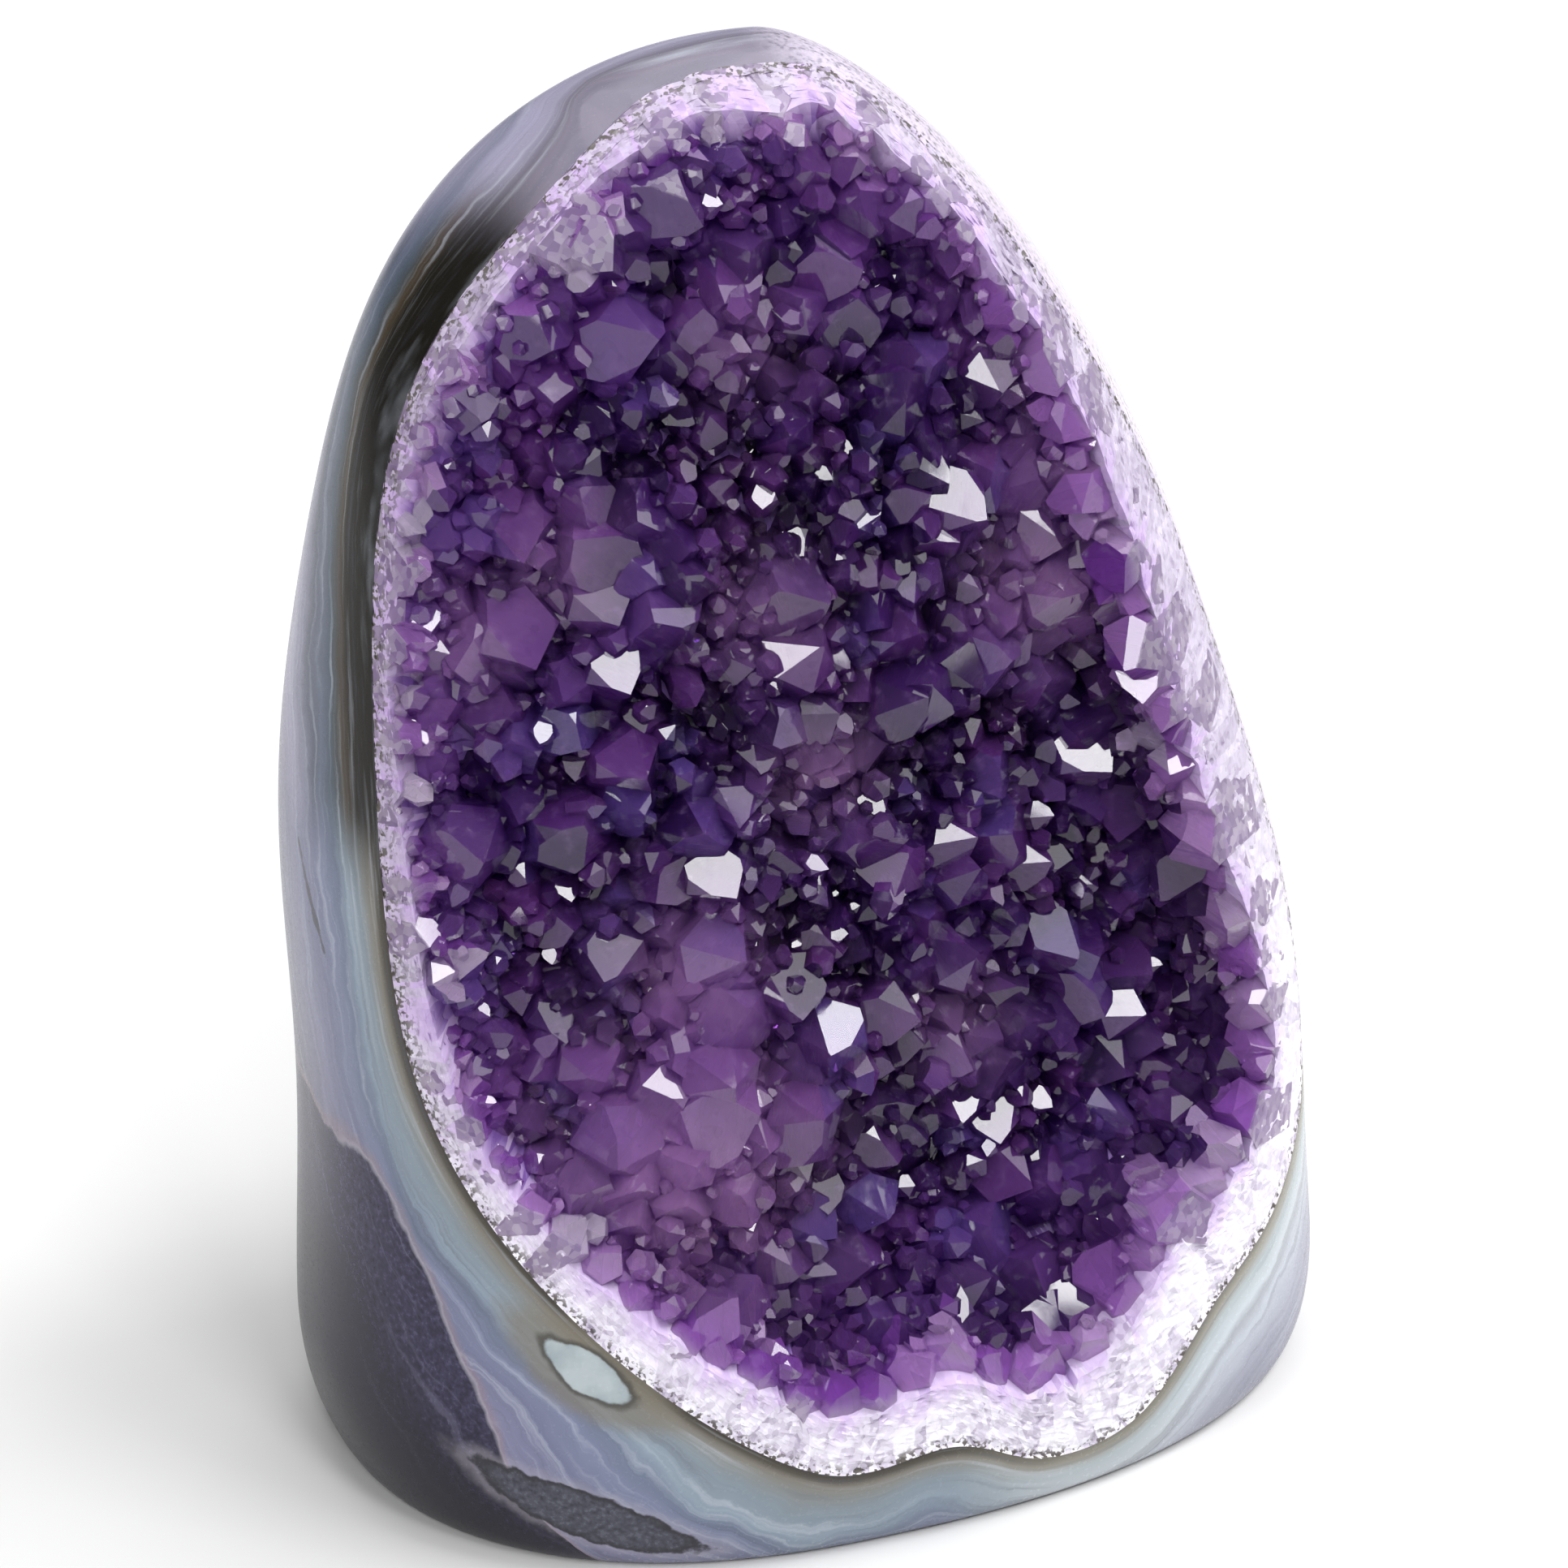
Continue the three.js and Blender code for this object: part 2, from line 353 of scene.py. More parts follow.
def new_material(name):
    """An empty material and its tree."""
    material = bpy.data.materials.new(name)
    material.use_nodes = True
    material.node_tree.nodes.clear()
    return material, material.node_tree


def finish_material(tree, inputs):
    """Ends a material in one Principled shader with these inputs, and returns the output node."""
    shader = add(tree, "ShaderNodeBsdfPrincipled", inputs)
    return add(tree, "ShaderNodeOutputMaterial", {"Surface": shader.outputs["BSDF"]})


def attribute(tree, name):
    """A number stored on the piece."""
    return add(tree, "ShaderNodeAttribute", attribute_name=name).outputs["Fac"]


def stone_places(tree):
    """Places on the stone, in millimetres from its upright axis and its foot."""
    whole = add(tree, "ShaderNodeTexCoord").outputs["Object"]
    moved = add(tree, "ShaderNodeMapping",
                {"Vector": whole, "Location": tuple(-AXIS / MM), "Scale": (1 / MM, 1 / MM, 1 / MM)})
    return moved.outputs["Vector"]


def apart(tree, vector):
    """The three numbers of a vector."""
    return add(tree, "ShaderNodeSeparateXYZ", {"Vector": vector}).outputs


def together(tree, x, y, z):
    """A vector of three numbers."""
    return add(tree, "ShaderNodeCombineXYZ", {"X": x, "Y": y, "Z": z}).outputs["Vector"]


def times(tree, *values):
    """The product of numbers or links."""
    product = values[0]
    for value in values[1:]:
        product = math_node(tree, "MULTIPLY", product, value)
    return product


def swing(tree, noise, size):
    """Noise spread about zero, this far each way."""
    return math_node(tree, "MULTIPLY_ADD", noise, 2 * size, -size)


LAYER_SPAN = 26.0  # millimetres of agate that the layer colours cover
LOW_LAYERS = [  # millimetres from the hollow, and colour, on the lower part of the stone
    (0.0, (56, 52, 46)), (0.4, (76, 72, 64)), (0.8, (120, 116, 108)), (1.5, (128, 132, 132)),
    (2.4, (126, 138, 148)), (4.2, (136, 150, 164)), (5.6, (104, 114, 136)), (7.0, (118, 124, 150)),
    (9.0, (110, 113, 140)), (12.0, (122, 122, 150)), (18.0, (94, 92, 114)), (25.0, (78, 76, 96)),
]
HIGH_LAYERS = [  # the same beside the upper left of the hollow, where a dark wedge runs along it
    (0.0, (20, 18, 14)), (1.7, (28, 25, 19)), (2.8, (66, 56, 42)), (3.6, (64, 66, 66)),
    (5.0, (72, 84, 98)), (6.6, (92, 100, 120)), (8.2, (78, 84, 102)), (10.0, (124, 124, 148)),
    (12.5, (146, 142, 168)), (18.0, (102, 100, 122)), (25.0, (80, 78, 98)),
]
RIGHT_LAYERS = [  # and on the right, where the agate is palest
    (0.0, (112, 108, 96)), (0.7, (146, 144, 134)), (1.6, (170, 180, 184)), (3.4, (190, 198, 204)),
    (4.4, (156, 160, 168)), (5.8, (182, 188, 198)), (9.0, (150, 152, 168)), (14.0, (118, 118, 140)),
    (25.0, (86, 84, 104)),
]
TOP_LAYERS = [  # and over the top, where it is lavender grey to the edge
    (0.0, (128, 122, 138)), (0.9, (104, 100, 114)), (2.0, (138, 134, 154)), (4.0, (156, 152, 176)),
    (6.0, (126, 126, 148)), (9.0, (150, 146, 170)), (14.0, (110, 108, 132)), (25.0, (82, 80, 100)),
]
EYE = ((-25.4, -24.8, 20.6), (-20.0, -27.6, 16.2), 1.7)  # two ends of a patch and half its width
SLATE_LENS = ((-29.6, -20.6, 8.8), (-14.6, -28.0, 2.4), 2.3)
CRACK = ((-36.8, -2.9, 53.9), (-36.2, -7.4, 46.0), 0.45)
PATCH_DEPTH = 9.0  # millimetres that a patch reaches into the stone
PATCH_POWER = 1.6  # between a lozenge, 1, and an oval, 2


def patch_group():
    """How far a place lies from the middle of a long patch in the agate: 1 at the patch's edge."""
    tree = bpy.data.node_groups.new("agate patch", "ShaderNodeTree")
    for name in ("Places", "Middle", "Along", "Across", "Through"):
        tree.interface.new_socket(name, in_out="INPUT", socket_type="NodeSocketVector")
    tree.interface.new_socket("Wander", in_out="INPUT", socket_type="NodeSocketFloat")
    tree.interface.new_socket("Distance", in_out="OUTPUT", socket_type="NodeSocketFloat")
    given = add(tree, "NodeGroupInput").outputs
    offset = add(tree, "ShaderNodeVectorMath", operation="SUBTRACT")
    tree.links.new(given["Places"], offset.inputs[0])
    tree.links.new(given["Middle"], offset.inputs[1])
    squares = []
    for direction in ("Along", "Across", "Through"):
        part = add(tree, "ShaderNodeVectorMath", operation="DOT_PRODUCT")
        tree.links.new(offset.outputs[0], part.inputs[0])
        tree.links.new(given[direction], part.inputs[1])
        away = math_node(tree, "ABSOLUTE", part.outputs["Value"])
        squares.append(math_node(tree, "POWER", away, PATCH_POWER))
    total = math_node(tree, "ADD", math_node(tree, "ADD", squares[0], squares[1]), squares[2])
    distance = math_node(tree, "POWER", total, 1 / PATCH_POWER)
    ragged = swing(tree, noise_value(tree, given["Places"], 0.7, 3), 1.0)
    distance = math_node(tree, "MULTIPLY_ADD", ragged, given["Wander"], distance)
    add(tree, "NodeGroupOutput", {"Distance": distance})
    return tree


PATCH_GROUP = patch_group()


def patch_distance(tree, places, patch, wander):
    """Distance from a patch given by its two ends and half its width, lying in the polished face."""
    first, second, half_width = np.array(patch[0]), np.array(patch[1]), patch[2]
    middle = (first + second) / 2
    along = (second - first) / np.linalg.norm(second - first)
    x, z, step = middle[0] * MM, middle[2] * MM, 0.1 * MM
    slope_x = (front(x + step, z) - front(x - step, z)) / (2 * step)
    slope_z = (front(x, z + step) - front(x, z - step)) / (2 * step)
    through = np.array([slope_x, -1, slope_z])
    across = np.cross(through, along)
    across /= np.linalg.norm(across) * half_width
    along *= 2 / np.linalg.norm(second - first)
    through /= np.linalg.norm(through) * PATCH_DEPTH
    node = add(tree, "ShaderNodeGroup",
               {"Places": places, "Middle": tuple(middle), "Along": tuple(along), "Across": tuple(across),
                "Through": tuple(through), "Wander": wander}, node_tree=PATCH_GROUP)
    return node.outputs["Distance"]


def layer_colours(tree, share, layers):
    """The colours of a list of layers along a share of the layer span."""
    return colour_steps(tree, share, [(mm / LAYER_SPAN, srgb(*colour)) for mm, colour in layers])


def paint(tree, under, mask, *colour):
    """A screen colour laid over another where a mask says."""
    return mix_colour(tree, mask, under, (*srgb(*colour), 1))


def agate_material():
    """Polished agate: layers that follow the hollow, dark lava rock low on the left, darker deep inside it,
    partly its own colour and partly painted shade, with painted shade towards the foot, and a dull sawn foot.
    """
    material, tree = new_material("polished agate")
    places = stone_places(tree)
    x, _, z = apart(tree, places)
    layer = attribute(tree, "layer")
    slow = noise_value(tree, places, 0.05, 2)
    quick = noise_value(tree, places, 0.3, 4)
    grain = noise_value(tree, places, 2.2, 3)
    wander = math_node(tree, "ADD", swing(tree, slow, 4.0), swing(tree, quick, 1.2))
    warped = math_node(tree, "MULTIPLY_ADD", wander, step_between(tree, layer, 0.4, 5.0), layer)
    share = math_node(tree, "DIVIDE", warped, LAYER_SPAN)
    rise = math_node(tree, "MULTIPLY_ADD", slow, 16.0, math_node(tree, "ADD", z, -8.0))
    wedge = times(tree, step_between(tree, rise, 54, 62), step_between(tree, rise, 106, 98),
                  step_between(tree, x, -2, -12))
    colour = mix_colour(tree, wedge, layer_colours(tree, share, LOW_LAYERS),
                        layer_colours(tree, share, HIGH_LAYERS))
    over_top = step_between(tree, rise, 96, 103)
    colour = mix_colour(tree, over_top, colour, layer_colours(tree, share, TOP_LAYERS))
    to_right = step_between(tree, math_node(tree, "ADD", x, wander), 4, 16)
    colour = mix_colour(tree, to_right, colour, layer_colours(tree, share, RIGHT_LAYERS))
    thread = noise_value(tree, together(tree, times(tree, warped, 1.5), times(tree, z, 0.05),
                                        times(tree, x, 0.05)), 1.0, 4, 0.6)
    clear = math_node(tree, "MULTIPLY_ADD", step_between(tree, layer, 13, 21), -0.26, 0.42)
    colour = paint(tree, colour, times(tree, step_between(tree, thread, 0.50, 0.78), clear), 196, 202, 214)
    colour = paint(tree, colour, times(tree, step_between(tree, thread, 0.48, 0.26), clear), 84, 86, 102)

    nearer = math_node(tree, "MAXIMUM", math_node(tree, "ADD", x, 33.0), 0.0)
    beside = math_node(tree, "MAXIMUM", math_node(tree, "ADD", x, 12.0), 0.0)
    nearer = times(tree, nearer, step_between(tree, layer, 19, 12))
    border = math_node(tree, "MULTIPLY_ADD", nearer, 1.3, 6.6)
    border = math_node(tree, "MULTIPLY_ADD", beside, 0.5, border)
    sinking = math_node(tree, "MAXIMUM", math_node(tree, "ADD", x, 26.0), 0.0)
    top_edge = math_node(tree, "MULTIPLY_ADD", wander, 1.2, 31.0)
    top_edge = math_node(tree, "MULTIPLY_ADD", sinking, -0.7, top_edge)
    below = math_node(tree, "SUBTRACT", top_edge, z)
    inside = math_node(tree, "SMOOTH_MIN", math_node(tree, "SUBTRACT", warped, border), below, 9.0)
    plum = colour_steps(tree, grain, [
        (0.3, srgb(30, 27, 46)), (0.5, srgb(46, 43, 68)), (0.75, srgb(70, 66, 94)),
    ])
    plum = paint(tree, plum, times(tree, step_between(tree, thread, 0.54, 0.76), 0.4), 122, 120, 146)
    # Partly the lava rock's own darker colour and partly painted shade: darker deeper inside the dark patch,
    # towards its lower left edge
    plum = paint(tree, plum, times(tree, step_between(tree, inside, 5.0, 13.0), 0.8), 28, 25, 38)
    # Painted shade: the dark rock darkened towards the foot
    plum = paint(tree, plum, times(tree, step_between(tree, z, 16, 3), 0.7), 18, 16, 26)
    colour = paint(tree, colour, times(tree, step_between(tree, inside, -1.4, -0.3), 0.4), 146, 122, 120)
    colour = mix_colour(tree, step_between(tree, inside, -0.2, 0.2), colour, plum)
    line = step_between(tree, math_node(tree, "ABSOLUTE", inside), 0.45, 0.1)
    colour = paint(tree, colour, times(tree, line, step_between(tree, layer, 16, 9), 0.35), 176, 174, 186)

    turned_right = math_node(tree, "MULTIPLY_ADD", z, 0.38, x)
    at_rim = times(tree, step_between(tree, turned_right, 40, 46), step_between(tree, layer, 5.0, 2.0),
                   step_between(tree, z, 24, 32))
    colour = paint(tree, colour, times(tree, at_rim, step_between(tree, grain, 0.25, 0.55)), 206, 196, 214)
    lens = patch_distance(tree, places, SLATE_LENS, 0.25)
    colour = paint(tree, colour, times(tree, step_between(tree, lens, 1.5, 1.1), 0.3), 170, 164, 174)
    slate = colour_steps(tree, grain, [(0.3, srgb(48, 48, 58)), (0.7, srgb(84, 86, 98))])
    colour = mix_colour(tree, step_between(tree, lens, 1.08, 1.0), colour, slate)
    colour = paint(tree, colour, times(tree, step_between(tree, lens, 0.8, 1.0),
                                       step_between(tree, lens, 1.12, 1.02), 0.8), 40, 38, 44)
    eye = patch_distance(tree, places, EYE, 0.2)
    colour = paint(tree, colour, times(tree, step_between(tree, eye, 2.6, 1.6), 0.7), 118, 112, 100)
    colour = paint(tree, colour, times(tree, step_between(tree, eye, 1.35, 1.1), 0.8), 62, 60, 56)
    aqua = colour_steps(tree, quick, [(0.35, srgb(136, 150, 156)), (0.65, srgb(172, 182, 186))])
    colour = mix_colour(tree, step_between(tree, eye, 1.08, 0.95), colour, aqua)
    crack = patch_distance(tree, places, CRACK, 0.9)
    colour = paint(tree, colour, times(tree, step_between(tree, crack, 1.0, 0.7), 0.8), 52, 50, 58)

    sawn = step_between(tree, z, 0.25, 0.1)
    colour = paint(tree, colour, times(tree, sawn, 0.5), 150, 146, 148)
    rough = math_node(tree, "MULTIPLY_ADD", grain, 0.12, 0.20)
    rough = math_node(tree, "MULTIPLY_ADD", sawn, 0.45, rough)
    finish_material(tree, {
        "Base Color": colour, "Roughness": rough, "IOR": 1.54, "Specular IOR Level": 0.24,
    })
    return material


rind.data.materials.clear()
rind.data.materials.append(agate_material())
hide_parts("agate_rind")
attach(rind, "root")

# The quartz bed: the white, grainy root of the crust, grown on the agate. Its edge is polished flush with the
# rind as a band around the hollow, and inside the hollow it is the floor that the violet points stand on.
BAND_THIN = 1.0 * MM
BAND_THICK = 7.8 * MM
BAND_THICK_ANGLE = -0.5
BAND_FADE = 1.15
BAND_JAG = 0.9 * MM  # how far the band's inner edge runs in and out between the points
BAND_JAGS = 120
BED_POWER = 9
BED_COLUMNS = 600
BED_FLOOR_ROWS = 40
BED_BAND_ROWS = 24
BED_BACK_ROWS = 8
GRAIN_COUNT = 9000
GRAIN_STEP = 0.22 * MM
GRAIN_LEAN = 0.2


def band_share(angle):
    """How thick the flush band is at an angle about the hollow: 0 at its thinnest, 1 at its thickest."""
    return ((1 + np.cos(angle - BAND_THICK_ANGLE)) / 2) ** BAND_FADE


jag_random = np.random.default_rng(3)
JAG_ANGLES = np.sort(jag_random.uniform(-np.pi, np.pi, BAND_JAGS))
JAG_DEPTHS = jag_random.uniform(-BAND_JAG, BAND_JAG, BAND_JAGS)


def bed_edge(angle):
    """Share of the rim at which the flush band ends and the hollow begins, along a jagged line."""
    jag = np.interp(angle, JAG_ANGLES, JAG_DEPTHS, period=2 * np.pi) * (0.4 + 0.6 * band_share(angle))
    band = BAND_THIN + (BAND_THICK - BAND_THIN) * band_share(angle) + jag
    return 1 - band / rim_radius(angle)


def bed_depth(x, z):
    """Depth of the quartz bed below the polished front."""
    angle, share = hollow_share(x, z)
    return floor_depth(x, z) * (1 - np.clip(share / bed_edge(angle), 0, 1) ** BED_POWER)


def bed_front_rings(angle, floor_rows, band_rows):
    """Rings of the bed's face from the middle of the hollow out to the rim, without the middle itself."""
    edge = bed_edge(angle)
    floor = [edge * share for share in np.linspace(0, 1, floor_rows + 1)[1:] ** 0.8]
    band = [edge + (1 - edge) * share for share in np.linspace(0, 1, band_rows + 1)[1:]]
    return [hollow_ring(share, bed_depth, angle) for share in floor + band]


def quartz_bed():
    """The bed as one closed solid, its face broken into grains."""
    angle = np.linspace(-np.pi, np.pi, BED_COLUMNS, endpoint=False)
    rings = bed_front_rings(angle, BED_FLOOR_ROWS, BED_BAND_ROWS)
    faces_forward = len(rings) * BED_COLUMNS
    rings += [hollow_ring(share, wall_depth, angle) for share in np.linspace(1, 0, BED_BACK_ROWS + 1)[1:-1]]
    middle = [hollow_ring(np.zeros(1), depth, np.zeros(1)) for depth in (bed_depth, wall_depth)]
    vertices = np.concatenate([middle[0]] + rings + [middle[1]])
    random = np.random.default_rng(5)
    seeds = KDTree(GRAIN_COUNT)
    picked = random.integers(1, faces_forward, GRAIN_COUNT)
    for number, vertex in enumerate(picked):
        seeds.insert(vertices[vertex], number)
    seeds.balance()
    sink = random.uniform(0, 1, GRAIN_COUNT)
    lean = random.normal(0, GRAIN_LEAN, (GRAIN_COUNT, 3))
    for vertex in range(1, faces_forward - BED_COLUMNS + 1):
        place, number, _ = seeds.find(vertices[vertex])
        offset = (vertices[vertex] - np.array(place)) @ lean[number]
        vertices[vertex, 1] += max(0.0, sink[number] * GRAIN_STEP + offset)
    return new_object("quartz_bed", vertices, grid_faces(len(rings), BED_COLUMNS, (True, True)))


def hollow_fields(places):
    """Angle about the hollow, and how far each place lies inside the rim and inside the flush band, in mm."""
    x = (places[:, 0] - AXIS[0]) / INSIDE
    angle, share = hollow_share(x, places[:, 2])
    return angle, (1 - share) * rim_radius(angle) / MM, (bed_edge(angle) - share) * rim_radius(angle) / MM


def cell_shade(tree, places, scale):
    """One number from 0 to 1 for each grain of a pattern of grains."""
    cells = add(tree, "ShaderNodeTexVoronoi", {"Vector": places, "Scale": scale})
    return add(tree, "ShaderNodeSeparateColor", {"Color": cells.outputs["Color"]}).outputs["Red"]


def quartz_material():
    """White quartz in columns and small grains, some clear and grey, that turns violet towards the hollow."""
    material, tree = new_material("white quartz")
    places = stone_places(tree)
    z = apart(tree, places)["Z"]
    shore, inset = attribute(tree, "shore"), attribute(tree, "inset")
    comb = add(tree, "ShaderNodeAttribute", attribute_name="comb").outputs["Vector"]
    columns = cell_shade(tree, comb, 0.9)
    grains = cell_shade(tree, places, 1.9)
    shade = math_node(tree, "ADD", times(tree, columns, 0.6), times(tree, grains, 0.4))
    colour = colour_steps(tree, shade, [
        (0.05, srgb(170, 160, 182)), (0.25, srgb(204, 196, 214)), (0.5, srgb(224, 219, 232)),
        (0.75, srgb(238, 235, 244)), (1.0, srgb(250, 248, 252)),
    ])
    high = step_between(tree, z, 22, 62)
    colour = mix_colour(tree, times(tree, high, 0.75), colour, (*srgb(188, 178, 196), 1), "MULTIPLY")
    ragged = math_node(tree, "ADD", inset, swing(tree, columns, 1.6))
    colour = paint(tree, colour, times(tree, step_between(tree, ragged, -2.4, 0.9), 0.65), 180, 144, 206)
    colour = paint(tree, colour, step_between(tree, ragged, 0.6, 3.0), 120, 84, 160)
    speck = noise_value(tree, places, 2.4, 2)
    specks = times(tree, step_between(tree, shore, 1.5, 0.1), step_between(tree, speck, 0.50, 0.58))
    colour = paint(tree, colour, specks, 84, 78, 74)
    rough = math_node(tree, "MULTIPLY_ADD", grains, 0.3, 0.25)
    finish_material(tree, {"Base Color": colour, "Roughness": rough, "IOR": 1.54})
    return material


COMB_RADIUS = 45.0  # millimetres
COMB_STRETCH = 0.3  # columns of quartz are longer than they are wide

bed = quartz_bed()
bed_angle, bed_shore, bed_inset = hollow_fields(vertex_places(bed.data))
store(bed.data, "shore", bed_shore)
store(bed.data, "inset", bed_inset)
store(bed.data, "comb", np.stack([
    COMB_RADIUS * np.cos(bed_angle), COMB_RADIUS * np.sin(bed_angle), COMB_STRETCH * bed_inset,
], 1))
bed.data.materials.append(quartz_material())
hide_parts("crystal_crust")
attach(bed, "root")

# The amethyst points: six-sided crystals that grew out of the bed into the hollow, crowded until only their
# tips are free. They are clear violet quartz, grown into one another, and those at the rim are cut flush.
FORM_COUNT = 8
FORM_ROOT = 1.3  # buried length, in crystal radii
TIP_ANGLE = math.radians(51.8)  # between a tip face's normal and the crystal's length
SEED = 4
RIM_STEP = 3.6 * MM  # between the points of a row along the band
RIM_ROWS = [(0.3 * MM, 1.0), (3.2 * MM, 0.8)]  # least depth of a row's tips, and how pale it is
TIP_REACH = 1.6  # from a crystal's middle to its tip, in crystal radii
RIM_SIZES = (1.5, 2.9)  # smallest and largest radius of the points along the band, in millimetres
RIM_OUTWARD = (0.3, 0.85)  # how much they lean out of the hollow, from least to most
GROUND_COLUMNS = 160
GROUND_ROWS = 36
GROUND_KEPT = 34  # rows from the middle that points grow on
LINING_ROWS = 40
POLISH = 0.02 * MM  # the points end this far under the polished front
KNOTS = [  # places where the points are pale: x and z from the axis and the foot, radius, strength
    (-14.0, 32.0, 9.0, 0.95), (-12.0, 46.0, 5.0, 0.7), (18.0, 71.0, 5.5, 0.75), (22.0, 80.0, 6.0, 0.9),
    (20.0, 88.0, 5.0, 0.8), (-19.5, 77.0, 4.0, 0.5), (-5.4, 72.0, 4.0, 0.5), (-5.0, 91.0, 4.0, 0.4),
    (-1.3, 60.0, 4.0, 0.55), (9.0, 38.0, 4.0, 0.4), (-26.0, 31.0, 5.0, 0.7), (-27.0, 72.0, 4.0, 0.5),
]


def crystal_form(name, random):
    """One crystal of radius 1: a six-sided prism under six tip faces, three of them large."""
    planes = [(np.array([0.0, 0.0, -1.0]), FORM_ROOT)]
    for side in range(6):
        turn = math.radians(60 * side)
        out = np.array([math.cos(turn), math.sin(turn), 0])
        tip = out * math.sin(TIP_ANGLE) + np.array([0, 0, math.cos(TIP_ANGLE)])
        planes.append((out, random.uniform(0.76, 0.95)))
        planes.append((tip, 1.0 + random.uniform(-0.1, 0.1) + (0.17 if side % 2 else 0.0)))
    corners = []
    for three in itertools.combinations(planes, 3):
        normals = np.array([normal for normal, _ in three])
        if abs(np.linalg.det(normals)) < 1e-6:
            continue
        corner = np.linalg.solve(normals, [distance for _, distance in three])
        if all(normal @ corner <= distance + 1e-7 for normal, distance in planes):
            corners.append(corner)
    shape = bmesh.new()
    for corner in corners:
        shape.verts.new(corner)
    bmesh.ops.remove_doubles(shape, verts=shape.verts, dist=1e-4)
    bmesh.ops.convex_hull(shape, input=shape.verts)
    bmesh.ops.dissolve_limit(shape, angle_limit=0.01, verts=shape.verts, edges=shape.edges)
    mesh = bpy.data.meshes.new(name)
    shape.to_mesh(mesh)
    shape.free()
    return bpy.data.objects.new(name, mesh)


def growing_ground():
    """The part of the bed that points grow from, with the size of the points at each place."""
    angle = np.linspace(-np.pi, np.pi, GROUND_COLUMNS, endpoint=False)
    rings = bed_front_rings(angle, GROUND_ROWS, 1)[:GROUND_KEPT]
    middle = hollow_ring(np.zeros(1), bed_depth, np.zeros(1))
    vertices = np.concatenate([middle] + rings)
    faces = grid_faces(len(rings), len(angle), (True, False))
    mesh = bpy.data.meshes.new("growing ground")
    mesh.from_pydata([tuple(v) for v in vertices], [], [face[::-1] for face in faces])
    inset = hollow_fields(vertices)[2]
    mound_x, mound_z, radius, _ = MOUND
    x, z = vertices[:, 0] - AXIS[0], vertices[:, 2]
    mound = np.exp(-((x - mound_x) ** 2 + (z - mound_z) ** 2) / radius**2)
    store(mesh, "size", (0.68 + 0.32 * np.clip(inset / 5, 0, 1)) * (1 + 0.1 * mound))
    ground = bpy.data.objects.new("growing ground", mesh)
    bpy.context.scene.collection.objects.link(ground)
    return ground


def rim_rows():
    """Middles of the points along the band, which lean from it over the hollow."""
    random = np.random.default_rng(SEED)
    middles, ways, sizes, marks = [], [], [], []
    for clearance, mark in RIM_ROWS:
        angle = -np.pi
        while angle < np.pi:
            here = np.array([angle])
            size = random.uniform(*RIM_SIZES) * (0.7 + 0.6 * band_share(angle)) * MM
            outward = random.uniform(*RIM_OUTWARD)
            depth = TIP_REACH * size * outward + clearance + random.uniform(0, 0.7) * MM
            share = bed_edge(here) - random.normal(0, 0.6) * MM / rim_radius(here)
            middle = hollow_ring(share, depth, here)[0]
            inward = hollow_ring(share * 0.95, depth, here)[0] - middle
            sideways = hollow_ring(share, depth, here + 0.02)[0] - middle
            way = inward / np.linalg.norm(inward) * math.sqrt(1 - outward**2)
            way += sideways / np.linalg.norm(sideways) * random.normal(0, 0.3)
            middles.append(middle)
            ways.append(way + np.array([0, -outward, 0]))
            sizes.append(size)
            marks.append(mark)
            angle += RIM_STEP * random.uniform(0.75, 1.3) / rim_radius(angle)
    mesh = bpy.data.meshes.new("rim rows")
    mesh.from_pydata([tuple(middle) for middle in middles], [], [])
    store(mesh, "inward", ways)
    store(mesh, "size", sizes)
    store(mesh, "edge", marks)
    rows = bpy.data.objects.new("rim rows", mesh)
    bpy.context.scene.collection.objects.link(rows)
    return rows


def lining_solid():
    """The space of the whole crust: from the polished front back to the agate."""
    angle = np.linspace(-np.pi, np.pi, HOLLOW_COLUMNS, endpoint=False)
    out = np.linspace(0, 1, LINING_ROWS + 1)[1:]
    rings = [hollow_ring(share, POLISH, angle) for share in out[:-1]]
    rings += [hollow_ring(0.999, 0.05 * MM, angle)]
    rings += [hollow_ring(share, wall_depth, angle) for share in out[::-1][1:]]
    middle = [hollow_ring(np.zeros(1), depth, np.zeros(1)) for depth in (POLISH, wall_depth)]
    vertices = np.concatenate([middle[0]] + rings + [middle[1]])
    return new_object("lining", vertices, grid_faces(len(rings), HOLLOW_COLUMNS, (True, True)))


def output(node, identifier):
    """A node's output by its identifier."""
    return next(s for s in node.outputs if s.identifier == identifier)


def random_number(tree, seed, low=0.0, high=1.0, **inputs):
    """A random number for each point, or for each ID."""
    node = add(tree, "FunctionNodeRandomValue", {"Min_001": low, "Max_001": high, "Seed": seed, **inputs},
               data_type="FLOAT")
    return output(node, "Value_001")


def field(tree, name, kind):
    """What a mesh has stored under a name."""
    return add(tree, "GeometryNodeInputNamedAttribute", {"Name": name}, data_type=kind).outputs["Attribute"]


